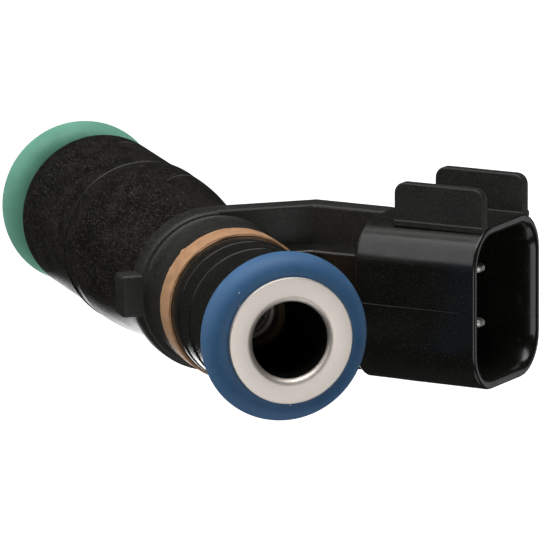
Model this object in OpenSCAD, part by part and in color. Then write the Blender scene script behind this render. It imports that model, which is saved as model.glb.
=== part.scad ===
// Port fuel injector, long two-seal type, with a tilted two-way connector.
// The injector axis is Z. Z = 0 is the nozzle end face, +Z runs to the fuel inlet,
// and +X points to the side that carries the connector.

/* [Seals] */
// Distance between the centres of the two O-rings
seal_spacing = 60.65; // [60.3:0.05:61]
// Height of the lower O-ring centre above the nozzle end face
lower_seal_z = 6; // [5.8:0.05:6.2]
// O-ring inside radius
seal_inner_r = 3.76; // [3.72:0.01:3.8]
// O-ring cord radius
seal_cord_r = 1.765; // [1.74:0.005:1.79]

/* [Fuel tube] */
// Radius of the fuel inlet bore
inlet_bore_r = 3.3; // [3.25:0.01:3.35]
// Outside radius of the steel tubes below the seal groove
tube_r = 3.9; // [3.85:0.01:3.95]
// Radius of the turned-out lip at the inlet
lip_r = 5.44; // [5.2:0.02:5.6]
// Height of the lip's face above the upper O-ring centre
lip_rise = 2.2; // [2.1:0.02:2.4]

/* [Moulded body] */
// Largest radius of the moulded body
body_r = 7.25; // [7.15:0.05:7.4]
// Radius of the body's waist, under the plate
waist_r = 6.4; // [6.3:0.05:6.6]
// Height where the moulded body meets the lower sleeve
body_z = 25.1; // [24.9:0.05:25.3]
// Height of the plate's underside
plate_z = 44.95; // [44.8:0.05:45.1]
// Thickness of the plate and of the arm
plate_t = 2.3; // [2:0.05:2.5]
// Radius of the plate
plate_r = 7.05; // [6.9:0.05:7.2]
// Radius of the neck above the colour ring
neck_r = 6.2; // [6.15:0.01:6.3]

/* [Connector] */
// Angle between the connector and the injector axis
conn_angle = 45; // [44:0.5:46]
// Distance of the connector mouth's centre from the injector axis
mouth_x = 22.35; // [22:0.05:22.6]
// Height of the connector mouth's centre
mouth_z = 59.15; // [58.9:0.05:59.4]
// Outside width of the shroud, across the tilt
shroud_w = 12.5; // [12.3:0.1:12.7]
// Outside width of the shroud, along Y
shroud_h = 14.2; // [14:0.1:14.4]
// Length of the shroud
shroud_l = 11.7; // [11.5:0.1:12]
// Wall thickness of the shroud
shroud_t = 1.1; // [1:0.05:1.2]
// Radius of the shroud's outer corners
shroud_r = 3.5; // [3.2:0.1:3.8]
// Centre distance of the two terminals
pin_pitch = 4.8; // [4.7:0.05:4.9]
// Distance of the terminals' middle from the shroud's middle, towards the tabs
pin_offset = 0.3; // [0.2:0.05:0.4]
// Centre distance of the two tabs
tab_pitch = 7.7; // [7.5:0.1:7.9]
// Height of the tabs above the shroud
tab_height = 3.35; // [3.2:0.05:3.5]

/* [Nozzle end] */
// Radius of the pilot that enters the manifold bore first
pilot_r = 5.1; // [5:0.02:5.16]
// Length of the pilot
pilot_l = 3; // [2.9:0.05:3.1]
// Radius of the flange that holds the lower O-ring in its groove
flange_r = 6.2; // [6.1:0.02:6.22]

/* [Valve] */
// Stroke gap between armature and pole
lift_gap = 0.12; // [0.1:0.01:0.15]
// Radius of the valve ball
ball_r = 1.75; // [1.7:0.01:1.78]

/* [Hidden] */
$fn = 96;
eps = 0.02;                                   // assembly gap between neighbouring pieces
upper_seal_z = lower_seal_z + seal_spacing;
seal_r = seal_inner_r + seal_cord_r;          // radius of the O-ring's cord circle
groove_r = seal_inner_r - 0.005;
lip_z = upper_seal_z + lip_rise;
lip_edge_t = 0.42;                            // thickness of the lip at its rim
lip_round = 0.32;                             // rounding between the lip and the bore
core_bore_r = 3;                              // bore of the tubes below the filter's stop
filter_top_z = 57.6;
tube_join_z = 35;                             // inlet tube to non-magnetic ring
ring_join_z = 31.2;                           // non-magnetic ring to valve tube
pole_z = 33.2;
coil_top_z = 43.45;                           // top of the magnet shell
shell_r = 5.7;
shell_t = 0.45;
neck_top_z = 63.15;
colour_z = 51.7;
colour_h = 2.65;
colour_r = 6.45;
collar_r = 6.35;
plate_top_z = plate_z + plate_t;
lug_reach = 8.5;
lug_w = 3.7;
block_rise = 2.7;                             // height of the arm's raised centre
block_w = 7.4;
arm_w = 14.2;
seat_top_z = 4.6;
ball_z = seat_top_z;
disc_z = 1.6;
nozzle_r = 2.6;                               // opening round the spray, below the disc
needle_r = 1.5;
needle_bore_r = 1;
needle_top_z = 28.5;
armature_r = core_bore_r - 0.06;
armature_z = 27;
spring_r = 1.25;
spring_wire_r = 0.2;
spring_z0 = 31.6;
spring_z1 = 36;
spring_turns = 5;
spring_steps = 20;                            // rings for each turn of the spring
spring_sides = 8;
blade_w = 1.5;
blade_t = 0.8;
blade_recess = 2.3;                           // blade tips below the mouth
blade_taper = 0.8;                            // length of the tapered tip
blade_tip = 0.35;                             // half width of the tip's end
strip_half = 0.35;                            // half thickness of the terminal strips
strip_low_z = 41.82;                          // lower ends of the strips, at the coil
strip_x0 = 3.6;                               // terminal strips beside the tube
strip_x1 = 4.3;
arm_mid_z = plate_z + plate_t / 2;
cone_half = 45;                               // half angle of the valve seat's cone
backup_r = 5.6;                               // lower backup ring and the sleeve's spigot
backup_top_z = 8.6;
valve_step_z = 8.62;                          // shoulder of the valve tube, over the groove
sleeve_r = 7.1;
sleeve_cone_z0 = 10.4;
sleeve_cone_z1 = 11.65;
retainer_top_z = 4.2;
retainer_step_z = disc_z - 0.32;              // top of the nozzle opening's lip
bobbin_z0 = 26.4;
bobbin_z1 = 41.8;
bobbin_r = 5.2;
bobbin_core_r = 4.4;
bobbin_flange_t = 0.8;
shoulder_z = 28.5;                            // where the body starts to narrow
shoulder_l = 10.5;
neck_step_1_z = 56.25;                        // the neck's two fine steps
neck_step_2_z = 59.1;
back_wall_t = 2;                              // wall behind the connector cavity
tab_t = 1;
tab_l = 8.5;
tab_r = 0.9;
tab_recess = 0.15;                            // tab ends below the mouth

// ---------- shared shapes ----------

// A round tube between two heights
module tube(r_out, r_in, z0, z1) {
    translate([0, 0, z0])
        difference() {
            cylinder(r = r_out, h = z1 - z0);
            translate([0, 0, -1])
                cylinder(r = r_in, h = z1 - z0 + 2);
        }
}

// A rectangle with round corners, centred
module round_rect(w, h, r) {
    square([w - 2 * r, h], center = true);
    square([w, h - 2 * r], center = true);
    for (sx = [-1, 1], sy = [-1, 1])
        translate([sx * (w / 2 - r), sy * (h / 2 - r)])
            circle(r = r, $fn = 48);
}

// Moves children into the connector's frame: +Z out of the mouth, X across the tilt
module connector_frame() {
    translate([mouth_x, 0, mouth_z])
        rotate([0, 90 - conn_angle, 0])
            children();
}

// An outline in the XZ plane, given a width along Y
module xz_plate(points, width) {
    rotate([90, 0, 0])
        linear_extrude(height = width, center = true)
            polygon(points);
}

// A point in the XZ plane from its depth below the mouth and its offset across the tilt
function conn_point(depth, across) = [
    mouth_x - depth * sin(conn_angle) - across * cos(conn_angle),
    mouth_z - depth * cos(conn_angle) + across * sin(conn_angle)
];

// Where the line at this offset across the tilt meets the height z
function bend_x(across, z) =
    conn_point((mouth_z + across * sin(conn_angle) - z) / cos(conn_angle), across)[0];

// ---------- fuel tube and filter ----------

lip_arc = [for (a = [0 : 15 : 90]) [inlet_bore_r + lip_round - lip_round * cos(a),
                                    lip_z - lip_round + lip_round * sin(a)]];

module inlet_tube() {
    color("#d8cfc6")
        rotate_extrude()
            polygon(concat(
                [[core_bore_r, tube_join_z], [core_bore_r, filter_top_z],
                 [inlet_bore_r, filter_top_z]],
                lip_arc,
                [[lip_r, lip_z], [lip_r, lip_z - lip_edge_t], [groove_r, lip_z - lip_edge_t],
                 [groove_r, neck_top_z], [tube_r, neck_top_z], [tube_r, tube_join_z]]));
}

module oring(z) {
    translate([0, 0, z])
        rotate_extrude()
            translate([seal_r, 0])
                circle(r = seal_cord_r, $fn = 64);
}

module upper_oring() {
    color("#2f67a5") oring(upper_seal_z);
}

module lower_oring() {
    color("#4fae8a") oring(lower_seal_z);
}

module upper_backup_ring() {
    color("#3a3835")
        tube(neck_r, seal_inner_r + eps, neck_top_z + eps, upper_seal_z - seal_cord_r - eps);
}

module lower_backup_ring() {
    color("#3a3835")
        tube(backup_r, seal_inner_r + eps, lower_seal_z + seal_cord_r + eps, backup_top_z);
}

module colour_ring() {
    color("#b9875f")
        tube(colour_r, neck_r + eps, colour_z + eps, colour_z + colour_h);
}

module filter_ring() {
    color("#c9a24a")
        tube(core_bore_r - eps, 2.45, 55.98, filter_top_z - 0.1);
}

module filter_frame() {
    color("#e8e2d2") {
        tube(core_bore_r - eps, 2.15, 54.4, 55.95);
        translate([0, 0, 46.4])
            cylinder(r = 2.55, h = 0.6);
        for (a = [0 : 90 : 270])
            rotate([0, 0, a])
                translate([2.15, -0.4, 46.9])
                    cube([0.4, 0.8, 7.6]);
    }
}

module filter_mesh() {
    color("#b8b4aa") tube(2.12, 2, 47.02, 55.4);
}

// ---------- magnetic circuit ----------

module pole_core() {
    color("#9a9a9c")
        tube(core_bore_r - eps, 1.6, pole_z, coil_top_z);
}

module adjusting_sleeve() {
    color("#a9a9ac")
        difference() {
            tube(1.58, 1, spring_z1 + eps, 41);
            translate([1.3, 0, 38.5])
                cube([1.2, 0.3, 8], center = true);
        }
}

// A ring of points round the spring's wire at one step along the coil
function spring_ring(i) =
    let (t = i / (spring_turns * spring_steps), a = 360 * spring_turns * t,
         z = spring_z0 + spring_wire_r + t * (spring_z1 - spring_z0 - 2 * spring_wire_r))
    [for (k = [0 : spring_sides - 1])
        let (b = 360 * k / spring_sides, r = spring_r + spring_wire_r * cos(b))
        [r * cos(a), r * sin(a), z + spring_wire_r * sin(b)]];

module return_spring() {
    n = spring_turns * spring_steps;
    m = spring_sides;
    points = [for (i = [0 : n]) each spring_ring(i)];
    sides = [for (i = [0 : n - 1], k = [0 : m - 1])
        [i * m + k, i * m + (k + 1) % m, (i + 1) * m + (k + 1) % m, (i + 1) * m + k]];
    start = [for (k = [m - 1 : -1 : 0]) k];
    end = [for (k = [0 : m - 1]) n * m + k];
    color("#8d9094")
        polyhedron(points = points, faces = concat([start], sides, [end]));
}

module nonmagnetic_ring() {
    color("#b4b0a6") tube(tube_r, core_bore_r, ring_join_z + eps, tube_join_z - eps);
}

module coil_bobbin() {
    color("#5b4a36") {
        tube(bobbin_core_r, tube_r + eps, bobbin_z0, bobbin_z1);
        for (z = [bobbin_z0, bobbin_z1 - bobbin_flange_t])
            tube(bobbin_r, bobbin_core_r - 0.1, z, z + bobbin_flange_t);
    }
}

module coil_winding() {
    color("#b4652f")
        tube(bobbin_r - 0.1, bobbin_core_r + eps, bobbin_z0 + bobbin_flange_t + eps,
             bobbin_z1 - bobbin_flange_t - eps);
}

module magnet_shell() {
    color("#85868a") {
        tube(shell_r, shell_r - shell_t, body_z + 0.05, coil_top_z);
        tube(shell_r - 0.2, tube_r + eps, body_z + 0.05, bobbin_z0 - 0.1);
    }
}

module flux_washer() {
    color("#85868a")
        difference() {
            tube(shell_r - shell_t - eps, tube_r + eps, bobbin_z1 + 0.05, coil_top_z);
            translate([tube_r + 0.6, pin_offset, bobbin_z1 + 0.8])
                cube([2.2, pin_pitch + blade_t + 0.4, 3], center = true);
        }
}

// ---------- valve ----------

module valve_tube() {
    color("#c9c5bf")
        rotate_extrude()
            polygon([[nozzle_r, disc_z - 0.3], [nozzle_r, disc_z - eps],
                     [core_bore_r, disc_z - eps], [core_bore_r, ring_join_z],
                     [tube_r, ring_join_z], [tube_r, valve_step_z],
                     [groove_r, valve_step_z], [groove_r, disc_z - 0.3]]);
}

module armature() {
    top = pole_z - lift_gap;
    color("#7d7f83")
        translate([0, 0, armature_z])
            difference() {
                cylinder(r = armature_r, h = top - armature_z);
                translate([0, 0, -1])
                    cylinder(r = 0.9, h = 20);
                translate([0, 0, -1])
                    cylinder(r = needle_r + eps, h = needle_top_z + eps - armature_z + 1);
                translate([0, 0, spring_z0 - armature_z])
                    cylinder(r = 1.6, h = 4);
                for (a = [45 : 90 : 315])
                    rotate([0, 0, a])
                        translate([2.4, 0, -1])
                            cylinder(r = 0.4, h = 20);
            }
}

module valve_needle() {
    bottom = ball_z + sqrt(ball_r * ball_r - needle_bore_r * needle_bore_r) + 0.01;
    color("#b9b9bb")
        difference() {
            tube(needle_r, needle_bore_r, bottom, needle_top_z);
            for (a = [0, 90])
                rotate([0, 90, a])
                    translate([-9, 0, -4])
                        cylinder(r = 0.5, h = 8);
        }
}

module valve_ball() {
    color("#d5d5d8")
        translate([0, 0, ball_z])
            sphere(r = ball_r);
}

module needle_guide() {
    color("#a3a3a6")
        difference() {
            tube(core_bore_r - eps, ball_r + 0.05, seat_top_z + 0.03, 5.4);
            for (a = [0 : 60 : 300])
                rotate([0, 0, a])
                    translate([2.4, 0, 0])
                        cylinder(r = 0.35, h = 10);
        }
}

module valve_seat() {
    apex_z = ball_z - (ball_r + 0.005) / sin(cone_half);
    outlet_r = 0.5;
    color("#a3a3a6")
        rotate_extrude()
            polygon([[outlet_r, 1.9], [outlet_r, apex_z + outlet_r / tan(cone_half)],
                     [(seat_top_z - apex_z) * tan(cone_half), seat_top_z],
                     [core_bore_r - eps, seat_top_z], [core_bore_r - eps, 1.9]]);
}

module orifice_disc() {
    color("#c4c2bd")
        difference() {
            translate([0, 0, disc_z])
                cylinder(r = core_bore_r - eps, h = 0.28);
            for (a = [0 : 60 : 300])
                rotate([0, 0, a])
                    translate([0.3, 0, 0])
                        cylinder(r = 0.1, h = 4, $fn = 24);
        }
}

// ---------- terminals ----------

// One terminal's outline in the XZ plane, grown by a gap on all sides
module terminal(gap) {
    half = blade_w / 2 + gap;
    thin = strip_half + gap;
    neck = shroud_l - 1;
    bend_hi = bend_x(thin, arm_mid_z + thin);
    bend_lo = bend_x(-thin, arm_mid_z - thin);
    xz_plate([
        conn_point(blade_recess - gap, blade_tip), conn_point(blade_recess + blade_taper, half),
        conn_point(neck, half), conn_point(neck, thin),
        [bend_hi, arm_mid_z + thin], [strip_x0 - gap, arm_mid_z + thin],
        [strip_x0 - gap, strip_low_z - gap], [strip_x1 + gap, strip_low_z - gap],
        [strip_x1 + gap, arm_mid_z - thin], [bend_lo, arm_mid_z - thin],
        conn_point(neck, -thin), conn_point(neck, -half),
        conn_point(blade_recess + blade_taper, -half), conn_point(blade_recess - gap, -blade_tip)
    ], blade_t + 2 * gap);
}

module terminals() {
    color("#c8c4ba")
        for (s = [-1, 1])
            translate([0, pin_offset + s * pin_pitch / 2, 0])
                terminal(0);
}

// ---------- mouldings ----------

// Shoulder between the body's full radius and its waist, as a cosine blend
shoulder = [for (t = [0 : 0.1 : 1]) [waist_r + (body_r - waist_r) * (1 + cos(180 * t)) / 2,
                                     shoulder_z + shoulder_l * t]];

module body_of_revolution() {
    rotate_extrude()
        polygon(concat(
            [[shell_r + eps, body_z], [sleeve_r, body_z], [body_r, body_z + 0.3]],
            shoulder,
            [[waist_r, plate_z], [plate_r, plate_z], [plate_r, plate_top_z],
             [collar_r, plate_top_z], [collar_r, colour_z], [neck_r, colour_z],
             [neck_r, neck_step_1_z], [neck_r - 0.06, neck_step_1_z],
             [neck_r - 0.06, neck_step_2_z], [neck_r - 0.14, neck_step_2_z],
             [neck_r - 0.14, neck_top_z - 0.3],
             [neck_r - 0.44, neck_top_z], [tube_r + eps, neck_top_z],
             [tube_r + eps, coil_top_z + eps], [shell_r + eps, coil_top_z + eps]]));
}

module arm() {
    half = plate_t / 2;
    end = shroud_l - 0.5;
    difference() {
        xz_plate([
            [0, plate_z], [bend_x(-half, plate_z), plate_z], conn_point(end, -half),
            conn_point(end, half), [bend_x(half, plate_top_z), plate_top_z], [0, plate_top_z]
        ], arm_w);
        translate([0, 0, plate_z - 5])
            cylinder(r = collar_r - 0.4, h = 20);
    }
}

module arm_block() {
    top = plate_t / 2 + block_rise;
    end = shroud_l - 0.5;
    difference() {
        xz_plate([
            [0, plate_z + 0.5], [bend_x(0, plate_z + 0.5), plate_z + 0.5], conn_point(end, 0),
            conn_point(end, top), [bend_x(top, plate_top_z + block_rise), plate_top_z + block_rise],
            [0, plate_top_z + block_rise]
        ], block_w);
        translate([0, 0, plate_z - 5])
            cylinder(r = collar_r - 0.4, h = 20);
    }
}

module lug() {
    difference() {
        translate([-lug_reach, -lug_w / 2, plate_z])
            cube([lug_reach, lug_w, plate_t]);
        translate([0, 0, plate_z - 5])
            cylinder(r = collar_r - 0.4, h = 20);
    }
}

module shroud() {
    connector_frame()
        difference() {
            translate([0, 0, -shroud_l])
                linear_extrude(height = shroud_l)
                    round_rect(shroud_w, shroud_h, shroud_r);
            translate([0, 0, back_wall_t - shroud_l])
                linear_extrude(height = shroud_l)
                    round_rect(shroud_w - 2 * shroud_t, shroud_h - 2 * shroud_t,
                               shroud_r - shroud_t);
        }
}

// Two upright tabs beside the latch, each a plate with round outer corners
module tabs() {
    foot = 0.2;                               // how far the tabs reach into the wall
    height = tab_height + foot;
    connector_frame()
        for (s = [-1, 1])
            translate([s * tab_pitch / 2, shroud_h / 2 - foot, -tab_recess - tab_l])
                rotate([0, -90, 0])
                    linear_extrude(height = tab_t, center = true) {
                        square([tab_l, height - tab_r]);
                        translate([tab_r, 0])
                            square([tab_l - 2 * tab_r, height]);
                        for (x = [tab_r, tab_l - tab_r])
                            translate([x, height - tab_r])
                                circle(r = tab_r, $fn = 48);
                    }
}

module overmould() {
    color("#24221f")
        difference() {
            union() {
                body_of_revolution();
                arm();
                arm_block();
                lug();
                shroud();
                tabs();
            }
            for (s = [-1, 1])
                translate([0, pin_offset + s * pin_pitch / 2, 0])
                    terminal(0.01);
        }
}

module lower_sleeve() {
    color("#262421")
        rotate_extrude()
            polygon([[tube_r + eps, valve_step_z + eps], [backup_r, valve_step_z + eps],
                     [backup_r, sleeve_cone_z0], [sleeve_r, sleeve_cone_z1],
                     [sleeve_r, body_z - eps], [tube_r + eps, body_z - eps]]);
}

module lower_retainer() {
    color("#2b2926")
        rotate_extrude()
            polygon([[nozzle_r, 0], [pilot_r, 0], [pilot_r, pilot_l], [flange_r, pilot_l],
                     [flange_r, retainer_top_z - 0.3], [flange_r - 0.3, retainer_top_z],
                     [groove_r + eps, retainer_top_z], [groove_r + eps, retainer_step_z],
                     [nozzle_r, retainer_step_z]]);
}

inlet_tube();
upper_oring();
upper_backup_ring();
colour_ring();
filter_ring();
filter_frame();
filter_mesh();
adjusting_sleeve();
return_spring();
pole_core();
nonmagnetic_ring();
valve_tube();
armature();
valve_needle();
valve_ball();
needle_guide();
valve_seat();
orifice_disc();
coil_bobbin();
coil_winding();
magnet_shell();
flux_washer();
overmould();
terminals();
lower_sleeve();
lower_backup_ring();
lower_oring();
lower_retainer();
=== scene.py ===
import math

import bmesh
import bpy
from mathutils import Matrix, Vector, noise


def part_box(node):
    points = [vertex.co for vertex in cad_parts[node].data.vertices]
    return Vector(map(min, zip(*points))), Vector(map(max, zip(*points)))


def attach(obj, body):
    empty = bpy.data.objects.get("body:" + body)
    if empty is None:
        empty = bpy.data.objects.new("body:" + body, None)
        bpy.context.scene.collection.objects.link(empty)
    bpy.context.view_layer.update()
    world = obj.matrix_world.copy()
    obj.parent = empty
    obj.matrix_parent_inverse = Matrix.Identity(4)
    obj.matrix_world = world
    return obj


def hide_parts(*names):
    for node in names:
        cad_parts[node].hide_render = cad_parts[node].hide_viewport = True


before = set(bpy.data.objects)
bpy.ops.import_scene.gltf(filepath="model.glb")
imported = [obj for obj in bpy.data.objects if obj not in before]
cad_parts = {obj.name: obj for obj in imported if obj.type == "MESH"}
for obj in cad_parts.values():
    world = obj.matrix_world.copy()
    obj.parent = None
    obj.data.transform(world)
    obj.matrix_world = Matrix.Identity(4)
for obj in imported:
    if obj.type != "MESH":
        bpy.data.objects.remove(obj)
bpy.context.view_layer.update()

# ---------------------------------------------------------------- dimensions
# Everything is in millimetres here, and MM turns it into metres when a mesh is made.

MM = 0.001
HOUSING = "housing"


def mid_z(node):
    low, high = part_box(node)
    return (low.z + high.z) / 2 / MM


def low_z(node):
    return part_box(node)[0].z / MM


def high_z(node):
    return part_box(node)[1].z / MM


UPPER_SEAL_Z = mid_z("upper_oring")
LOWER_SEAL_Z = mid_z("lower_oring")
SEAL_OUT_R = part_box("upper_oring")[1].x / MM
SEAL_CORD_R = (high_z("upper_oring") - low_z("upper_oring")) / 2
SEAL_R = SEAL_OUT_R - SEAL_CORD_R
LIP_Z = high_z("inlet_tube")
LIP_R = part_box("inlet_tube")[1].x / MM
INLET_BORE_R = 3.3
CORE_BORE_R = 3.0
FILTER_TOP_Z = 57.6
GROOVE_R = 3.755
TUBE_R = 3.9
FIT = 0.02               # gap between neighbouring pieces
TUBE_LOW_Z = low_z("inlet_tube")

BODY_Z = low_z("overmould")
BODY_R = 7.25
WAIST_R = 6.4
PLATE_Z = 44.95
PLATE_T = 2.3
PLATE_TOP_Z = PLATE_Z + PLATE_T
PLATE_R = 7.05
COLLAR_R = 6.35
BAND_Z = low_z("colour_ring")
BAND_TOP_Z = high_z("colour_ring")
BAND_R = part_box("colour_ring")[1].x / MM
NECK_R = 6.2
NECK_TOP_Z = 63.15
NECK_STEP = 0.1
NECK_STEP_Z = (56.4, 59.04)
SHELL_R = 5.7
SHELL_TOP_Z = high_z("magnet_shell")
LUG_REACH = -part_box("overmould")[0].x / MM
LUG_W = 3.7
ARM_W = 14.2
BLOCK_W = 7.4
BLOCK_RISE = 2.7
BLOCK_INSET = 0.5
BLOCK_EDGE = 0.3

CONN_ANGLE = math.radians(45)
MOUTH = Vector((22.35, 0, 59.15))
SHROUD_W = 12.5
SHROUD_H = 14.2
SHROUD_L = 11.7
SHROUD_T = 1.1
SHROUD_R = 3.5
SHROUD_DRAFT = 0.1
BACK_WALL_T = 2.0
ARM_END = SHROUD_L - 0.6
PLATE_EDGE = 0.34
TAB_PITCH = 7.7
TAB_L = 8.5
TAB_T = 1.0
TAB_H = 3.35
TAB_RECESS = 0.15
PIN_PITCH = 4.8
PIN_OFFSET = 0.3
BLADE_RECESS = 2.3
BLADE_W = 1.5
BLADE_T = 0.8
STRIP_LOW_Z = 41.82
SHOULDER_Z = 28.5
SHOULDER_L = 10.5
SLEEVE_R = 7.1
SLEEVE_FOOT_R = 5.6
RING_BORE_R = 3.78
PILOT_R = 5.1
PILOT_L = 3.0
FLANGE_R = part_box("lower_retainer")[1].x / MM

ROUND_STEPS = 6          # segments in a rounded corner
LATHE_STEPS = 192        # segments round a turned piece
SEAL_STEPS = 256
BAND_STEPS = 360
SHARP_ANGLE = 32         # degrees: sharper edges than this stay crisp in the shading
QUARTER_TURN = [math.pi / 2 * k / ROUND_STEPS for k in range(ROUND_STEPS + 1)]


# ---------------------------------------------------------------- mesh helpers

def rounded(points, closed=True):
    """A polyline through (u, v, radius) corners, with each corner rounded to its radius."""
    out = []
    count = len(points)
    for i, (u, v, radius) in enumerate(points):
        corner = Vector((u, v))
        if radius <= 0 or (not closed and i in (0, count - 1)):
            out.append(corner)
            continue
        before = Vector(points[i - 1][:2]) - corner
        after = Vector(points[(i + 1) % count][:2]) - corner
        a, b = before.normalized(), after.normalized()
        opening = math.acos(max(-1, min(1, a.dot(b))))
        if opening > math.radians(179):
            out.append(corner)
            continue
        reach = radius / math.tan(opening / 2)
        limit = 0.49 * min(before.length, after.length)
        if reach > limit:
            reach = limit
            radius = reach * math.tan(opening / 2)
        centre = corner + (a + b).normalized() * radius / math.sin(opening / 2)
        start = corner + a * reach - centre
        end = corner + b * reach - centre
        turn = math.atan2(start.x * end.y - start.y * end.x, start.dot(end))
        for k in range(ROUND_STEPS + 1):
            angle = turn * k / ROUND_STEPS
            ca, sa = math.cos(angle), math.sin(angle)
            out.append(centre + Vector((start.x * ca - start.y * sa, start.x * sa + start.y * ca)))
    return out


def new_object(name, verts, faces, material_index=0):
    """A mesh object from points in millimetres."""
    mesh = bpy.data.meshes.new(name)
    mesh.from_pydata([Vector(v) * MM for v in verts], [], faces)
    bm = bmesh.new()
    bm.from_mesh(mesh)
    bmesh.ops.recalc_face_normals(bm, faces=bm.faces)
    bm.to_mesh(mesh)
    bm.free()
    mesh.polygons.foreach_set("material_index", [material_index] * len(mesh.polygons))
    obj = bpy.data.objects.new(name, mesh)
    bpy.context.scene.collection.objects.link(obj)
    return obj


def lathe(name, outline, steps=LATHE_STEPS, wobble=None):
    """A closed (r, z) outline turned about the Z axis. wobble may move its points."""
    count = len(outline)
    verts = []
    for s in range(steps):
        angle = 2 * math.pi * s / steps
        for p in outline:
            r, z = (p.x, p.y) if wobble is None else wobble(p.x, p.y, angle)
            verts.append((r * math.cos(angle), r * math.sin(angle), z))
    faces = []
    for s in range(steps):
        n = (s + 1) % steps
        for k in range(count):
            m = (k + 1) % count
            faces.append((s * count + k, s * count + m, n * count + m, n * count + k))
    return new_object(name, verts, faces)


def slab(name, outline, low, high, place, material_index=0):
    """A flat outline given a thickness. place(point, level) sets it in space."""
    count = len(outline)
    verts = [place(point, level) for level in (low, high) for point in outline]
    faces = [tuple(range(count)), tuple(range(2 * count - 1, count - 1, -1))]
    for k in range(count):
        m = (k + 1) % count
        faces.append((k, k + count, m + count, m))
    return new_object(name, verts, faces, material_index)


def prism(name, outline, low_y, high_y, edge, material_index=0):
    """An (x, z) outline given a width along Y, with its edges rounded."""
    obj = slab(name, outline, low_y, high_y, lambda point, y: (point.x, y, point.y), material_index)
    bevel_edges(obj, edge)
    return obj


def bevel_edges(obj, width, min_angle=25):
    """Rounds every edge of a mesh that is sharper than min_angle."""
    bm = bmesh.new()
    bm.from_mesh(obj.data)
    sharp = [e for e in bm.edges if e.is_manifold and e.calc_face_angle(0) > math.radians(min_angle)]
    bmesh.ops.bevel(bm, geom=sharp, offset=width * MM, segments=3, profile=0.5,
                    affect="EDGES", clamp_overlap=True, material=-1)
    bmesh.ops.recalc_face_normals(bm, faces=bm.faces)
    bm.to_mesh(obj.data)
    bm.free()


def combine(target, tools, operation):
    """Joins closed meshes to target, or cuts them from it, and removes them."""
    for tool in tools:
        mod = target.modifiers.new("combine", "BOOLEAN")
        mod.operation = operation
        mod.solver = "MANIFOLD"
        mod.object = tool
        graph = bpy.context.evaluated_depsgraph_get()
        mesh = bpy.data.meshes.new_from_object(target.evaluated_get(graph))
        target.modifiers.clear()
        old = target.data
        target.data = mesh
        bpy.data.meshes.remove(old)
        bpy.data.objects.remove(tool)


def finish_mesh(obj):
    """Smooth shading that keeps real edges crisp."""
    mesh = obj.data
    mesh.polygons.foreach_set("use_smooth", [True] * len(mesh.polygons))
    mesh.set_sharp_from_angle(angle=math.radians(SHARP_ANGLE))
    mod = obj.modifiers.new("normals", "WEIGHTED_NORMAL")
    mod.keep_sharp = True
    mod.weight = 50


def conn_point(depth, across):
    """A point in the XZ plane from its depth below the mouth and its offset across the tilt."""
    s, c = math.sin(CONN_ANGLE), math.cos(CONN_ANGLE)
    return (MOUTH.x - depth * s - across * c, MOUTH.z - depth * c + across * s)


def bend_x(across, z):
    """Where the line at this offset across the tilt meets the height z."""
    depth = (MOUTH.z + across * math.sin(CONN_ANGLE) - z) / math.cos(CONN_ANGLE)
    return conn_point(depth, across)[0]


def in_connector(obj):
    """Places a mesh made in the connector's frame, which has its origin in the mouth.

    +Z points out of the mouth, +X across the tilt towards the inlet, and +Y along the row's -Y.
    """
    s, c = math.sin(CONN_ANGLE), math.cos(CONN_ANGLE)
    place = Matrix(((-c, 0, s), (0, -1, 0), (s, 0, c))).to_4x4()
    place.translation = MOUTH * MM
    obj.data.transform(place)
    return obj


# ---------------------------------------------------------------- materials

def start_material(name, color, roughness, metallic=0.0, specular=0.5):
    """A Principled material with object coordinates ready for its textures."""
    mat = bpy.data.materials.new(name)
    mat.use_nodes = True
    tree = mat.node_tree
    shader = tree.nodes["Principled BSDF"]
    shader.inputs["Base Color"].default_value = (*color, 1)
    shader.inputs["Roughness"].default_value = roughness
    shader.inputs["Metallic"].default_value = metallic
    shader.inputs["Specular IOR Level"].default_value = specular
    coords = tree.nodes.new("ShaderNodeTexCoord")
    return mat, tree, shader, coords.outputs["Object"]


def mapped(tree, vector, scale):
    """Coordinates stretched along each axis."""
    node = tree.nodes.new("ShaderNodeMapping")
    node.inputs["Scale"].default_value = scale
    tree.links.new(vector, node.inputs["Vector"])
    return node.outputs["Vector"]


def noise_at(tree, vector, size_mm, detail, rough=0.5):
    """Noise whose features are about size_mm across."""
    node = tree.nodes.new("ShaderNodeTexNoise")
    node.inputs["Scale"].default_value = 1 / (size_mm * MM)
    node.inputs["Detail"].default_value = detail
    node.inputs["Roughness"].default_value = rough
    tree.links.new(vector, node.inputs["Vector"])
    return node.outputs["Fac"]


def ramp(tree, value, stops):
    """A colour ramp from (position, colour or grey) stops."""
    node = tree.nodes.new("ShaderNodeValToRGB")
    elements = node.color_ramp.elements
    while len(elements) < len(stops):
        elements.new(0.5)
    for element, (position, color) in zip(elements, stops):
        element.position = position
        if isinstance(color, (int, float)):
            color = (color, color, color)
        element.color = (*color, 1)
    tree.links.new(value, node.inputs["Fac"])
    return node.outputs["Color"]


def mix_color(tree, factor, a, b):
    """Mixes two colours, each a socket or a fixed colour, by a socket or a number."""
    node = tree.nodes.new("ShaderNodeMix")
    node.data_type = "RGBA"
    sockets = (("Factor", factor), ("A", a), ("B", b))
    for label, value in sockets:
        socket = next(s for s in node.inputs if s.name == label and
                      (s.type == "RGBA" or label == "Factor" and s.type == "VALUE"))
        if isinstance(value, bpy.types.NodeSocket):
            tree.links.new(value, socket)
        elif label == "Factor":
            socket.default_value = value
        else:
            socket.default_value = (*value, 1)
    return next(s for s in node.outputs if s.type == "RGBA")


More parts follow.
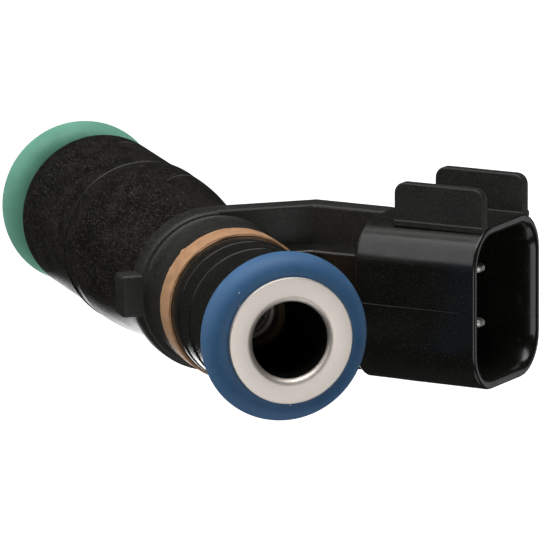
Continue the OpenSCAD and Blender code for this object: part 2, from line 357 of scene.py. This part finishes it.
def math_node(tree, operation, a, b):
    """A maths node on two values, each a socket or a number."""
    node = tree.nodes.new("ShaderNodeMath")
    node.operation = operation
    for socket, value in zip(node.inputs, (a, b)):
        if isinstance(value, bpy.types.NodeSocket):
            tree.links.new(value, socket)
        else:
            socket.default_value = value
    return node.outputs["Value"]


def add_bump(tree, shader, height, strength, depth_mm):
    """Adds a bump on top of any bump that the shader already has."""
    node = tree.nodes.new("ShaderNodeBump")
    node.inputs["Strength"].default_value = strength
    node.inputs["Distance"].default_value = depth_mm * MM
    tree.links.new(height, node.inputs["Height"])
    normal = shader.inputs["Normal"]
    if normal.is_linked:
        tree.links.new(normal.links[0].from_socket, node.inputs["Normal"])
    tree.links.new(node.outputs["Normal"], normal)


def bands(tree, vector, direction, pitch_mm):
    """Soft stripes across one axis, one for each pitch."""
    node = tree.nodes.new("ShaderNodeTexWave")
    node.bands_direction = direction
    node.inputs["Scale"].default_value = 1 / (pitch_mm * MM) / 20 * 2 * math.pi
    tree.links.new(vector, node.inputs["Vector"])
    return node.outputs["Fac"]


def dust(tree, vector, spacing_mm, size, keep):
    """Sparse small specks: 1 on a speck, 0 elsewhere. keep is the share of cells that have one."""
    cells = tree.nodes.new("ShaderNodeTexVoronoi")
    cells.inputs["Scale"].default_value = 1 / (spacing_mm * MM)
    tree.links.new(vector, cells.inputs["Vector"])
    near = math_node(tree, "LESS_THAN", cells.outputs["Distance"], size)
    channel = tree.nodes.new("ShaderNodeSeparateColor")
    tree.links.new(cells.outputs["Color"], channel.inputs["Color"])
    chosen = math_node(tree, "LESS_THAN", channel.outputs["Red"], keep)
    return math_node(tree, "MULTIPLY", near, chosen)


def rubber(name, color, deep):
    """Satin fluoro-rubber: soft mottling, a faint skin texture and a few dust specks."""
    mat, tree, shader, at = start_material(name, color, roughness=0.46, specular=0.22)
    mottle = noise_at(tree, at, 2.2, detail=5, rough=0.6)
    base = mix_color(tree, ramp(tree, mottle, [(0.35, 0.0), (0.7, 1.0)]), deep, color)
    specks = dust(tree, at, spacing_mm=0.9, size=0.09, keep=0.16)
    pale = tuple(0.35 + 0.55 * c for c in color)
    tree.links.new(mix_color(tree, specks, base, pale), shader.inputs["Base Color"])
    tree.links.new(ramp(tree, mottle, [(0.3, 0.40), (0.7, 0.52)]), shader.inputs["Roughness"])
    add_bump(tree, shader, noise_at(tree, at, 0.12, detail=3), strength=0.12, depth_mm=0.01)
    add_bump(tree, shader, noise_at(tree, at, 1.4, detail=2), strength=0.08, depth_mm=0.03)
    return mat


def black_plastic(name, base, light, roughness, grain_mm, grain, scratches=0.5, specular=0.5):
    """Glass-filled nylon: mould grain, pale fibre flecks, and fine handling scratches."""
    mat, tree, shader, at = start_material(name, base, roughness, specular=specular)
    flecks = noise_at(tree, mapped(tree, at, (1, 1, 0.45)), 0.13, detail=3, rough=0.7)
    fleck_mask = ramp(tree, flecks, [(0.53, 0.0), (0.68, 1.0)])
    clouds = noise_at(tree, at, 2.4, detail=4, rough=0.6)
    tint = mix_color(tree, fleck_mask, base, light)
    tint = mix_color(tree, ramp(tree, clouds, [(0.4, 0.0), (0.75, 0.15)]), tint, light)
    lines = noise_at(tree, mapped(tree, at, (0.12, 1.0, 0.7)), 0.07, detail=2, rough=0.5)
    patch = ramp(tree, noise_at(tree, at, 2.6, detail=3), [(0.55, 0.0), (0.68, scratches)])
    scratch = math_node(tree, "MULTIPLY", ramp(tree, lines, [(0.66, 0.0), (0.74, 1.0)]), patch)
    wear_and_highlight = tuple(0.03 + 2 * c for c in light)
    tree.links.new(mix_color(tree, scratch, tint, wear_and_highlight), shader.inputs["Base Color"])
    rough = ramp(tree, clouds, [(0.3, roughness - 0.04), (0.75, roughness + 0.06)])
    tree.links.new(rough, shader.inputs["Roughness"])
    add_bump(tree, shader, noise_at(tree, at, grain_mm, detail=3, rough=0.6), strength=grain, depth_mm=0.03)
    add_bump(tree, shader, noise_at(tree, at, 2.8, detail=2), strength=0.10, depth_mm=0.03)
    return mat


def steel(name, color, roughness, grain_scale, grain_mm, strength):
    """Drawn or turned steel: fine directional grain and faint stains."""
    mat, tree, shader, at = start_material(name, color, roughness, metallic=1.0)
    grain = noise_at(tree, mapped(tree, at, grain_scale), grain_mm, detail=5, rough=0.65)
    stain = noise_at(tree, at, 1.8, detail=4, rough=0.6)
    dark = tuple(0.82 * c for c in color)
    base = mix_color(tree, ramp(tree, grain, [(0.3, 0.0), (0.7, 1.0)]), dark, color)
    base = mix_color(tree, ramp(tree, stain, [(0.55, 0.0), (0.8, 0.3)]), base, dark)
    tree.links.new(base, shader.inputs["Base Color"])
    rough = ramp(tree, grain, [(0.3, roughness - 0.08), (0.7, roughness + 0.1)])
    tree.links.new(rough, shader.inputs["Roughness"])
    add_bump(tree, shader, grain, strength=strength, depth_mm=0.01)
    return mat


def moulded(name, color, roughness, mottle=0.15, specular=0.45):
    """Plain moulded plastic with slight colour mottling and a fine skin."""
    mat, tree, shader, at = start_material(name, color, roughness, specular=specular)
    cloud = noise_at(tree, at, 0.9, detail=5, rough=0.6)
    dark = tuple(c * (1 - mottle) ** 2 for c in color)
    light = tuple(c * (1 + mottle) for c in color)
    tree.links.new(ramp(tree, cloud, [(0.3, dark), (0.7, light)]), shader.inputs["Base Color"])
    tree.links.new(ramp(tree, cloud, [(0.3, roughness - 0.06), (0.7, roughness + 0.06)]),
                   shader.inputs["Roughness"])
    add_bump(tree, shader, noise_at(tree, at, 0.1, detail=3), strength=0.2, depth_mm=0.015)
    return mat


def wound(name, color, pitch_mm):
    """Fine wire laid turn by turn along the Z axis."""
    mat, tree, shader, at = start_material(name, color, roughness=0.3, metallic=1.0)
    turns = bands(tree, at, "Z", pitch_mm)
    dark = tuple(0.45 * c for c in color)
    tree.links.new(ramp(tree, turns, [(0.0, dark), (0.5, color)]), shader.inputs["Base Color"])
    add_bump(tree, shader, turns, strength=0.6, depth_mm=0.05)
    return mat


def gauze(name, color, pitch_mm):
    """A square weave of fine threads."""
    mat, tree, shader, at = start_material(name, color, roughness=0.6)
    weave = bands(tree, at, "X", pitch_mm)
    for direction in ("Y", "Z"):
        weave = math_node(tree, "MAXIMUM", weave, bands(tree, at, direction, pitch_mm))
    dark = tuple(0.35 * c for c in color)
    tree.links.new(ramp(tree, weave, [(0.4, dark), (0.9, color)]), shader.inputs["Base Color"])
    add_bump(tree, shader, weave, strength=0.5, depth_mm=0.04)
    return mat


ROUND_GRAIN = (1, 1, 1)
LONG_GRAIN = (0.2, 0.2, 1)

GRAINED = black_plastic("body_grained", (0.009, 0.0087, 0.007), (0.045, 0.043, 0.037),
                        roughness=0.5, grain_mm=0.16, grain=0.5)
SATIN = black_plastic("body_satin", (0.003, 0.0028, 0.002), (0.060, 0.056, 0.047),
                      roughness=0.36, grain_mm=0.14, grain=0.5, specular=0.25)
GLOSSY = black_plastic("body_glossy", (0.007, 0.007, 0.0055), (0.022, 0.021, 0.019),
                       roughness=0.22, grain_mm=0.12, grain=0.04, scratches=0.3)
SLEEVE = black_plastic("sleeve_grained", (0.003, 0.0028, 0.002), (0.060, 0.056, 0.048),
                       roughness=0.40, grain_mm=0.16, grain=0.5, specular=0.3)
# Painted highlight: a pale grey for the fine raised lines on the sleeve and on the body's shoulder,
# standing in for the light those lines catch.
RIDGE_HIGHLIGHT = black_plastic("ridge_painted_highlight", (0.10, 0.097, 0.088), (0.17, 0.165, 0.15),
                     roughness=0.5, grain_mm=0.1, grain=0.3)
BLACK_RING = black_plastic("ring_black", (0.012, 0.011, 0.010), (0.04, 0.04, 0.036),
                           roughness=0.5, grain_mm=0.15, grain=0.2)
BLUE = rubber("seal_blue", (0.050, 0.134, 0.272), (0.042, 0.114, 0.235))
GREEN = rubber("seal_green", (0.150, 0.390, 0.280), (0.120, 0.330, 0.235))
STAINLESS = steel("stainless", (0.95, 0.875, 0.805), roughness=0.5,
                  grain_scale=ROUND_GRAIN, grain_mm=0.12, strength=0.05)
CORE_STEEL = steel("core_steel", (0.40, 0.41, 0.43), roughness=0.32,
                   grain_scale=LONG_GRAIN, grain_mm=0.08, strength=0.3)
VALVE_STEEL = steel("valve_steel", (0.62, 0.62, 0.64), roughness=0.2,
                    grain_scale=(0.25, 0.25, 1), grain_mm=0.06, strength=0.15)
SPRING_STEEL = steel("spring_steel", (0.45, 0.46, 0.48), roughness=0.25,
                     grain_scale=ROUND_GRAIN, grain_mm=0.1, strength=0.1)
TINNED = steel("tinned", (0.93, 0.91, 0.87), roughness=0.5,
               grain_scale=(1, 0.3, 1), grain_mm=0.12, strength=0.12)
BRASS = steel("brass", (0.10, 0.075, 0.04), roughness=0.5,
              grain_scale=(0.3, 0.3, 1), grain_mm=0.1, strength=0.15)
# Painted shade: a near-black, almost matt material for the inlet bore below its lip, standing in for the
# shade deep in the bore.
PAINTED_SHADE_BORE = moulded("bore_painted_shade", (0.008, 0.0075, 0.006), roughness=0.8, mottle=0.3, specular=0.05)
TAN = moulded("band_tan", (0.40, 0.218, 0.110), roughness=0.5, mottle=0.12, specular=0.3)
NATURAL = moulded("natural_nylon", (0.76, 0.70, 0.58), roughness=0.45, mottle=0.05)
BOBBIN = moulded("bobbin_brown", (0.16, 0.10, 0.06), roughness=0.5)
COPPER = wound("copper_wire", (0.72, 0.30, 0.12), pitch_mm=0.22)
GAUZE = gauze("filter_gauze", (0.62, 0.60, 0.54), pitch_mm=0.18)


# ---------------------------------------------------------------- pieces

def add_piece(obj, node, *materials):
    """Finishes a piece, gives it its materials and lets it stand for a CAD node."""
    mesh = obj.data
    indices = [polygon.material_index for polygon in mesh.polygons]
    mesh.materials.clear()
    for mat in materials:
        mesh.materials.append(mat)
    mesh.polygons.foreach_set("material_index", indices)
    finish_mesh(obj)
    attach(obj, HOUSING)
    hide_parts(node)


def make_seal(name, node, centre_z, material):
    """An O-ring with the thin flash line that the mould leaves at its outside and inside."""
    flash, flash_w, sides = 0.025, 0.035, 72
    outline = []
    for k in range(sides):
        a = 2 * math.pi * k / sides
        bump = flash * math.exp(-(math.sin(a) / flash_w) ** 2)
        r = SEAL_CORD_R - flash + bump
        outline.append(Vector((SEAL_R + r * math.cos(a), centre_z + r * math.sin(a))))
    add_piece(lathe(name, outline, SEAL_STEPS), node, material)


def make_inlet_tube():
    """The steel tube with its turned-out lip, rounded into the bore. Below the lip the bore gets a
    near-black material: painted shade.
    """
    steel_part, painted_shade_part = 0, 1
    lip_t, mouth_round, unshaded_depth = 0.42, 0.62, 0.5
    outline = rounded([
        (CORE_BORE_R, TUBE_LOW_Z, 0.05), (CORE_BORE_R, FILTER_TOP_Z, 0.05),
        (INLET_BORE_R, FILTER_TOP_Z, 0.05), (INLET_BORE_R, LIP_Z, mouth_round),
        (LIP_R, LIP_Z, 0.1), (LIP_R, LIP_Z - lip_t, 0.1), (GROOVE_R, LIP_Z - lip_t, 0.1),
        (GROOVE_R, NECK_TOP_Z, 0.02), (TUBE_R, NECK_TOP_Z, 0.02), (TUBE_R, TUBE_LOW_Z, 0.05),
    ])
    tube = lathe("steel_inlet", outline)
    # Bore faces more than half a millimetre below the lip get the painted shade material.
    for polygon in tube.data.polygons:
        middle = polygon.center / MM
        in_shaded_bore = middle.xy.length < INLET_BORE_R + FIT and middle.z < LIP_Z - unshaded_depth
        polygon.material_index = painted_shade_part if in_shaded_bore else steel_part
    add_piece(tube, "inlet_tube", STAINLESS, PAINTED_SHADE_BORE)


def make_colour_band():
    """The tan band. Its edges wander a little, and the lower one carries a small burr."""
    burr_at, burr_w, burr_size = math.radians(133), 0.035, 0.2
    middle = (BAND_Z + BAND_TOP_Z) / 2
    outline = rounded([
        (NECK_R + FIT, BAND_Z, 0.03), (BAND_R, BAND_Z, 0.08),
        (BAND_R - 0.02, BAND_TOP_Z, 0.1), (NECK_R + FIT, BAND_TOP_Z, 0.03),
    ])

    def rough_edge(r, z, angle):
        if r <= NECK_R + 0.05:
            return r, z
        around = Vector((3 * math.cos(angle), 3 * math.sin(angle), 0))
        wander = 0.10 * noise.noise(around * 2.1) + 0.05 * noise.noise(around * 9)
        burr = burr_size * math.exp(-((angle - burr_at) / burr_w) ** 2) if z < middle else 0
        side = -1 if z < middle else 1
        return r + 0.03 * noise.noise(around * 5) + 0.35 * burr, z + side * (0.5 * wander - 0.05) - burr

    add_piece(lathe("tan_band", outline, BAND_STEPS, rough_edge), "colour_ring", TAN)


def make_backup_ring(name, node, r_out):
    """The plain ring that a seal rests on."""
    low, high = low_z(node), high_z(node)
    edge, bore_edge = 0.15, 0.075
    outline = rounded([
        (RING_BORE_R, low, bore_edge), (r_out, low, edge), (r_out, high, edge),
        (RING_BORE_R, high, bore_edge),
    ])
    add_piece(lathe(name, outline), node, BLACK_RING)


def make_lower_sleeve():
    """The spacer sleeve: a narrow foot, a short cone and the wide part, with a fine raised line whose pale
    colour is a painted highlight.
    """
    wear_and_highlight = 1
    foot_top_z, cone_top_z = 10.4, 11.65
    low, high = low_z("lower_sleeve"), high_z("lower_sleeve")
    sleeve = lathe("spacer_sleeve", rounded([
        (TUBE_R + FIT, low, 0.05), (SLEEVE_FOOT_R, low, 0.15), (SLEEVE_FOOT_R, foot_top_z, 0.3),
        (SLEEVE_R, cone_top_z, 0.25), (SLEEVE_R, high, 0.08), (TUBE_R + FIT, high, 0.05),
    ]))
    # A fine raised line; its pale material is a painted highlight.
    line = arc_ridge("sleeve_line", lambda z: SLEEVE_R, start=(84, 15.4), end=(70, 14.4),
                     material_index=wear_and_highlight)
    combine(sleeve, [line], "UNION")
    add_piece(sleeve, "lower_sleeve", SLEEVE, RIDGE_HIGHLIGHT)


def make_lower_retainer():
    """The nozzle's ring: a pilot, a flange that holds the seal and a thin lip inside."""
    high = high_z("lower_retainer")
    opening_r, lip_z, chamfer = 2.6, 1.28, 0.3
    outline = rounded([
        (opening_r, 0, 0.25), (PILOT_R, 0, 0.3), (PILOT_R, PILOT_L, 0.15),
        (FLANGE_R, PILOT_L, 0.2), (FLANGE_R, high - chamfer, 0.1), (FLANGE_R - chamfer, high, 0.1),
        (GROOVE_R + FIT, high, 0.05), (GROOVE_R + FIT, lip_z, 0.05), (opening_r, lip_z, 0.05),
    ])
    add_piece(lathe("nozzle_retainer", outline), "lower_retainer", BLACK_RING)


def shoulder_r(z):
    """The body's radius where it narrows to the waist."""
    t = min(1, max(0, (z - SHOULDER_Z) / SHOULDER_L))
    return WAIST_R + (BODY_R - WAIST_R) * (1 + math.cos(math.pi * t)) / 2


def crown(r, z, reach, drop):
    """The rounded edge between the wall at r and the flat face at z above it."""
    return [(r - reach * (1 - math.cos(t)), z - drop * (1 - math.sin(t)), 0)
            for t in QUARTER_TURN]


def cove(r, z, reach, rise):
    """The hollow curve that joins a flat face at z to the wall above it at r."""
    return [(r + reach * (1 - math.sin(t)), z + rise * (1 - math.cos(t)), 0)
            for t in QUARTER_TURN]


def soft_step(z, count):
    """A small step inwards in the neck, with its outer edge rounded. count is 1 for the lowest."""
    rise = 0.3
    r_low, r_high = NECK_R - NECK_STEP * (count - 1), NECK_R - NECK_STEP * count
    return [(r_high + (r_low - r_high) * math.cos(t), z - rise + rise * math.sin(t), 0)
            for t in QUARTER_TURN]


def body_outline():
    """The moulded body, waist, plate, collar and neck as one turned outline.

    It starts and ends at inside_r, within the space that is cut out for the steel shell and tube.
    """
    inside_r, bead, steps = 2.5, 0.05, 10
    first_step, second_step = NECK_STEP_Z
    heights = [SHOULDER_Z + SHOULDER_L * t / steps for t in range(steps + 1)]
    return rounded([
        (inside_r, BODY_Z, 0), (SLEEVE_R, BODY_Z, 0.03), (BODY_R + bead, BODY_Z + 0.02, 0.04),
        (BODY_R + bead, BODY_Z + 0.16, 0.04), (BODY_R - 0.04, BODY_Z + 0.24, 0.03),
        (BODY_R - 0.02, SHOULDER_Z - 0.9, 0), (BODY_R + 0.02, SHOULDER_Z - 0.8, 0),
        (BODY_R + 0.02, SHOULDER_Z - 0.1, 0),
        *[(shoulder_r(z), z, 0) for z in heights],
        (WAIST_R, PLATE_Z, 0.3), (PLATE_R, PLATE_Z, 0.2),
        *crown(PLATE_R, PLATE_TOP_Z, reach=0.34, drop=0.7),
        *cove(COLLAR_R, PLATE_TOP_Z, reach=0.35, rise=1.3),
        (COLLAR_R, BAND_Z - FIT, 0.08), (NECK_R, BAND_Z - FIT, 0.02),
        *soft_step(first_step, 1), *soft_step(second_step, 2),
        (NECK_R - 2 * NECK_STEP, NECK_TOP_Z, 0.35), (inside_r, NECK_TOP_Z, 0),
    ])


def arc_ridge(name, radius_at, start, end, material_index):
    """A fine raised line on a turned surface, from (angle, z) to (angle, z)."""
    steps, width, height, root = 24, 0.09, 0.06, 0.1
    verts, faces = [], []
    for k in range(steps + 1):
        t = k / steps
        angle = math.radians(start[0] + (end[0] - start[0]) * t)
        z = start[1] + (end[1] - start[1]) * t
        r = radius_at(z)
        fade = math.sin(math.pi * t) ** 0.3 if 0 < t < 1 else 0
        for dr, dz in ((-root, -width), (height * fade, 0), (-root, width)):
            verts.append(((r + dr) * math.cos(angle), (r + dr) * math.sin(angle), z + dz))
    for k in range(steps):
        for j in range(3):
            m = (j + 1) % 3
            faces.append((3 * k + j, 3 * k + m, 3 * k + 3 + m, 3 * k + 3 + j))
    faces.append((0, 1, 2))
    faces.append((3 * steps, 3 * steps + 2, 3 * steps + 1))
    return new_object(name, verts, faces, material_index)


def rounded_rect_ring(half_x, half_y, radius, z, steps=8):
    """One ring of points round a rectangle with round corners."""
    ring = []
    for quarter in range(4):
        sx = (1, -1, -1, 1)[quarter]
        sy = (1, 1, -1, -1)[quarter]
        for k in range(steps + 1):
            a = math.pi / 2 * (quarter + k / steps)
            ring.append((sx * (half_x - radius) + radius * math.cos(a),
                         sy * (half_y - radius) + radius * math.sin(a), z))
    return ring


def loft(name, rings, material_index=0):
    """A closed mesh through rings of equal length, capped at both ends."""
    count = len(rings[0])
    verts = [p for ring in rings for p in ring]
    faces = [tuple(range(count)), tuple(range(len(verts) - count, len(verts)))]
    for i in range(len(rings) - 1):
        for k in range(count):
            m = (k + 1) % count
            a, b = i * count, (i + 1) * count
            faces.append((a + k, a + m, b + m, b + k))
    return new_object(name, verts, faces, material_index)


def make_shroud(material_index):
    """The connector's open box: drafted walls, a rounded lip and a cavity."""
    least_r = 0.9
    lip_x, wall_x, lip_l = 0.5, SHROUD_T + 0.05, 2.0
    back_x, floor_x = 3.0, 3.6
    floor_z = BACK_WALL_T - SHROUD_L
    walls = rounded([
        (back_x, -SHROUD_L, 0), (SHROUD_DRAFT, -SHROUD_L, 0.5), (0.0, 0, 0.22),
        *[(lip_x + (wall_x - lip_x) * math.sin(t), -lip_l * (1 - math.cos(t)), 0)
          for t in QUARTER_TURN],
        (SHROUD_T + 0.12, floor_z, 0.4), (floor_x, floor_z, 0),
    ], closed=False)
    rings = []
    for p in walls:
        radius = max(SHROUD_R - p.x, least_r)
        rings.append(rounded_rect_ring(SHROUD_W / 2 - p.x, SHROUD_H / 2 - p.x, radius, p.y))
    return in_connector(loft("shroud", rings, material_index))


def make_tab(material_index, sink):
    """One upright tab with round corners, its foot sunk into the shroud."""
    round_r, edge, edge_angle = 0.95, 0.16, 40
    outline = rounded([
        (-TAB_L / 2, -sink, 0), (TAB_L / 2, -sink, 0),
        (TAB_L / 2, TAB_H, round_r), (-TAB_L / 2, TAB_H, round_r),
    ])
    tab = slab("tab", outline, -TAB_T / 2, TAB_T / 2, lambda point, x: (x, point.y, point.x),
               material_index)
    bevel_edges(tab, edge, edge_angle)
    return tab


def make_tab_foot(material_index, sink):
    """The small fillet round the foot of a tab."""
    fillet, reach, corner_r = 0.14, 0.01, 0.049
    rings = []
    for up, spread in [(-sink, fillet)] + [
            (fillet * (1 - math.cos(t)), fillet * (1 - math.sin(t))) for t in QUARTER_TURN]:
        ring = rounded_rect_ring(TAB_T / 2 + spread + reach, TAB_L / 2 + reach, corner_r, up)
        rings.append([(x, z, y) for x, y, z in ring])
    return loft("tab_foot", rings, material_index)


def make_tabs(material_index):
    """Two tabs beside the plug's latch. The half turn puts them on the row's +Y side."""
    sink = 0.4
    middle = -TAB_RECESS - TAB_L / 2
    half_turn = Matrix.Diagonal((-1, -1, 1, 1))
    tabs = []
    for side in (-1, 1):
        shift = Vector((side * TAB_PITCH / 2, SHROUD_H / 2, middle))
        for piece in (make_tab(material_index, sink), make_tab_foot(material_index, sink)):
            piece.data.transform(half_turn @ Matrix.Translation(shift * MM))
            tabs.append(in_connector(piece))
    return tabs


def make_parting_ridges(material_index):
    """The fine mould line half way up both long walls of the shroud."""
    ridges = []
    sink, rise, half, start = 0.1, 0.03, 0.045, -1.3
    for side in (-1, 1):
        x = side * (SHROUD_W / 2 - sink)
        peak = side * (SHROUD_W / 2 + rise)
        verts = []
        for z, lean in ((start, 0), (-ARM_END, SHROUD_DRAFT)):
            top = peak - side * lean
            verts += [(x, -half, z), (top, 0, z), (x, half, z)]
        faces = [(0, 1, 2), (3, 5, 4), (0, 3, 4, 1), (1, 4, 5, 2), (2, 5, 3, 0)]
        ridges.append(in_connector(new_object("parting_ridge", verts, faces, material_index)))
    return ridges


def make_arm(material_index):
    """The arm, as thick as the plate, out to the line of the tilt and up it to the connector."""
    half = PLATE_T / 2
    outline = [Vector(p) for p in (
        (0, PLATE_Z), (bend_x(-half, PLATE_Z), PLATE_Z), conn_point(ARM_END, -half),
        conn_point(ARM_END, half), (bend_x(half, PLATE_TOP_Z), PLATE_TOP_Z), (0, PLATE_TOP_Z))]
    return prism("arm", outline, -ARM_W / 2, ARM_W / 2, PLATE_EDGE, material_index)


def make_arm_block(material_index):
    """The narrower block on top of the arm."""
    top = PLATE_T / 2 + BLOCK_RISE
    low = PLATE_Z + BLOCK_INSET
    high = PLATE_TOP_Z + BLOCK_RISE
    outline = [Vector(p) for p in (
        (0, low), (bend_x(0, low), low), conn_point(ARM_END, 0),
        conn_point(ARM_END, top), (bend_x(top, high), high), (0, high))]
    return prism("arm_block", outline, -BLOCK_W / 2, BLOCK_W / 2, BLOCK_EDGE, material_index)


def make_lug(material_index):
    """The square lug on the side of the plate away from the connector."""
    root_x = -4.5
    outline = [Vector(p) for p in (
        (-LUG_REACH, PLATE_Z), (root_x, PLATE_Z), (root_x, PLATE_TOP_Z),
        (-LUG_REACH, PLATE_TOP_Z))]
    return prism("lug", outline, -LUG_W / 2, LUG_W / 2, PLATE_EDGE, material_index)


def strip_outline():
    """The flat strip of a terminal, from the blade's root down to the coil."""
    thin, neck = 0.35, SHROUD_L - 1
    mid = PLATE_Z + PLATE_T / 2
    inner, outer = 3.6, 4.3
    return [Vector(p) for p in (
        conn_point(neck - 1, thin), conn_point(neck, thin), (bend_x(thin, mid + thin), mid + thin),
        (inner, mid + thin), (inner, STRIP_LOW_Z), (outer, STRIP_LOW_Z), (outer, mid - thin),
        (bend_x(-thin, mid - thin), mid - thin), conn_point(neck, -thin),
        conn_point(neck - 1, -thin))]


def make_blade(middle):
    """One blade with a rounded, tapered tip, at this place along the row's Y."""
    tip, taper, steps, corner_steps = 0.12, 0.9, 8, 4
    edge, straight_z, root_z = 0.15, -BLADE_RECESS - 1.6, 1 - SHROUD_L
    rings = []
    for k in range(steps + 1):
        t = k / steps
        size = math.sin(math.pi / 2 * (tip + (1 - tip) * t)) ** 0.8
        half_x, half_y = BLADE_W / 2 * size, BLADE_T / 2 * size
        z = -BLADE_RECESS - taper * (1 - math.cos(math.pi / 2 * t))
        rings.append(rounded_rect_ring(half_x, half_y, half_y * 0.8, z, corner_steps))
    for z in (straight_z, root_z):
        rings.append(rounded_rect_ring(BLADE_W / 2, BLADE_T / 2, edge, z, corner_steps))
    blade = loft("blade", rings)
    blade.data.transform(Matrix.Translation((0, -middle * MM, 0)))
    return in_connector(blade)


def make_terminals():
    """Two tinned blades with their strips, bent down the arm to the coil."""
    half, edge = BLADE_T / 2, 0.1
    parts = []
    for side in (-1, 1):
        middle = PIN_OFFSET + side * PIN_PITCH / 2
        parts.append(make_blade(middle))
        parts.append(prism("strip", strip_outline(), middle - half, middle + half, edge))
    blades = parts[0]
    combine(blades, parts[1:], "UNION")
    blades.name = "terminal_blades"
    add_piece(blades, "terminals", TINNED)


def make_overmould():
    """The black moulding: body, neck, plate, lug, arm and connector shroud in one."""
    satin, grained, glossy, wear_and_highlight = 0, 1, 2, 3
    body = lathe("moulded_body", body_outline())
    for polygon in body.data.polygons:
        z = polygon.center.z / MM
        polygon.material_index = satin if z < PLATE_Z - 0.3 else grained if z < BAND_Z else glossy
    # A fine raised line on the shoulder; its pale material is a painted highlight.
    shoulder_highlight_ridge = arc_ridge("shoulder_highlight_ridge", shoulder_r, start=(91, 32.8), end=(59, 28.6),
                          material_index=wear_and_highlight)
    parts = [make_arm(grained), make_arm_block(glossy), make_lug(grained), make_shroud(glossy),
             *make_tabs(grained), *make_parting_ridges(glossy), shoulder_highlight_ridge]
    combine(body, parts, "UNION")
    axis_r = 0.001
    shell_space = lathe("shell_space", [Vector(p) for p in (
        (axis_r, BODY_Z - 1), (SHELL_R + FIT, BODY_Z - 1), (SHELL_R + FIT, SHELL_TOP_Z + FIT),
        (TUBE_R + FIT, SHELL_TOP_Z + FIT), (TUBE_R + FIT, NECK_TOP_Z + 1),
        (axis_r, NECK_TOP_Z + 1))])
    combine(body, [shell_space], "DIFFERENCE")
    add_piece(body, "overmould", SATIN, GRAINED, GLOSSY, RIDGE_HIGHLIGHT)


make_seal("seal_upper", "upper_oring", UPPER_SEAL_Z, BLUE)
make_seal("seal_lower", "lower_oring", LOWER_SEAL_Z, GREEN)
make_inlet_tube()
make_colour_band()
make_backup_ring("backup_upper", "upper_backup_ring", NECK_R)
make_backup_ring("backup_lower", "lower_backup_ring", SLEEVE_FOOT_R)
make_lower_sleeve()
make_lower_retainer()
make_terminals()
make_overmould()

# These CAD nodes stay as they are and only get a material.
KEPT = {
    "filter_ring": BRASS, "filter_frame": NATURAL, "filter_mesh": GAUZE,
    "adjusting_sleeve": SPRING_STEEL, "return_spring": SPRING_STEEL, "pole_core": CORE_STEEL,
    "nonmagnetic_ring": STAINLESS, "valve_tube": STAINLESS, "armature": CORE_STEEL,
    "valve_needle": VALVE_STEEL, "valve_ball": VALVE_STEEL, "needle_guide": VALVE_STEEL,
    "valve_seat": VALVE_STEEL, "orifice_disc": STAINLESS, "coil_bobbin": BOBBIN,
    "coil_winding": COPPER, "magnet_shell": CORE_STEEL, "flux_washer": CORE_STEEL,
}
for node_name, material in KEPT.items():
    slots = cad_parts[node_name].data.materials
    slots.clear()
    slots.append(material)


# ---------------------------------------------------------------- floor, light and camera

def make_floor():
    """A plain white floor in metres, 0.2 mm below the nozzle end so that the faces don't coincide."""
    size, level = 1.5, -0.0002
    mesh = bpy.data.meshes.new("floor")
    corners = [(x * size, y * size, level) for x, y in ((-1, -1), (1, -1), (1, 1), (-1, 1))]
    mesh.from_pydata(corners, [], [(0, 1, 2, 3)])
    floor = bpy.data.objects.new("floor", mesh)
    bpy.context.scene.collection.objects.link(floor)
    mat, _, shader, _ = start_material("floor_white", (0.85, 0.85, 0.85), 0.9, specular=0.1)
    shader.inputs["Emission Color"].default_value = (1, 1, 1, 1)
    shader.inputs["Emission Strength"].default_value = 0.85
    mesh.materials.append(mat)
    floor.visible_glossy = False


def soft_light(name, at, aim, width, height, power, roll=0):
    """A rectangular soft light at a point in metres, aimed at another and rolled in degrees."""
    data = bpy.data.lights.new(name, "AREA")
    data.shape = "RECTANGLE"
    data.size = width
    data.size_y = height
    data.energy = power
    light = bpy.data.objects.new(name, data)
    light.location = at
    facing = (Vector(aim) - Vector(at)).to_track_quat("-Z", "Y")
    turned = facing.to_matrix() @ Matrix.Rotation(math.radians(roll), 3, "Z")
    light.rotation_euler = turned.to_euler()
    light.visible_camera = False
    bpy.context.scene.collection.objects.link(light)


def card(name, x, y, width, height, power, roll=0):
    """A low soft light just above the floor, facing straight up like a white reflector card."""
    soft_light(name, (x, y, 0.002), (x, y, 1), width, height, power, roll)


def make_lights():
    """Soft studio light. Each light shows as a soft reflection on the black plastic."""
    world = bpy.data.worlds.new("studio")
    world.use_nodes = True
    background = world.node_tree.nodes["Background"]
    background.inputs["Color"].default_value = (1.0, 0.99, 0.98, 1)
    background.inputs["Strength"].default_value = 0.022
    bpy.context.scene.world = world
    centre = (0.01, 0, 0.05)
    soft_light("key_left", (-0.26, 0.19, 0.095), centre, width=0.36, height=0.09, power=0.2, roll=28)
    soft_light("key_top", (-0.02, 0.38, 0.13), centre, width=0.40, height=0.25, power=1.3)
    soft_light("fill_front", (0.02, -0.36, 0.16), centre, width=0.35, height=0.25, power=0.3)
    soft_light("face_light", (0.02, -0.14, 0.62), centre, width=0.55, height=0.30, power=0.95)
    card("card_back", x=-0.05, y=0.17, width=0.09, height=0.29, power=0.12, roll=35)
    card("card_right", x=0.22, y=-0.04, width=0.16, height=0.16, power=0.06)
    card("rim_low", x=0.013, y=-0.020, width=0.034, height=0.022, power=0.008)


def make_camera():
    """A long lens, nearly along the injector's axis, as in the catalogue view."""
    place_mm = Vector((-306.003, 219.157, 1054.677))
    turn_degrees = (-11.609, -17.188, -0.193)
    data = bpy.data.cameras.new("camera")
    data.sensor_width = 36
    data.lens = 834.715
    data.clip_end = 10
    data.shift_x = -0.0018
    data.shift_y = 0.0018
    camera = bpy.data.objects.new("camera", data)
    camera.location = place_mm * MM
    camera.rotation_euler = [math.radians(angle) for angle in turn_degrees]
    bpy.context.scene.collection.objects.link(camera)
    bpy.context.scene.camera = camera


make_floor()
make_lights()
make_camera()
bpy.context.scene.view_settings.view_transform = "Standard"
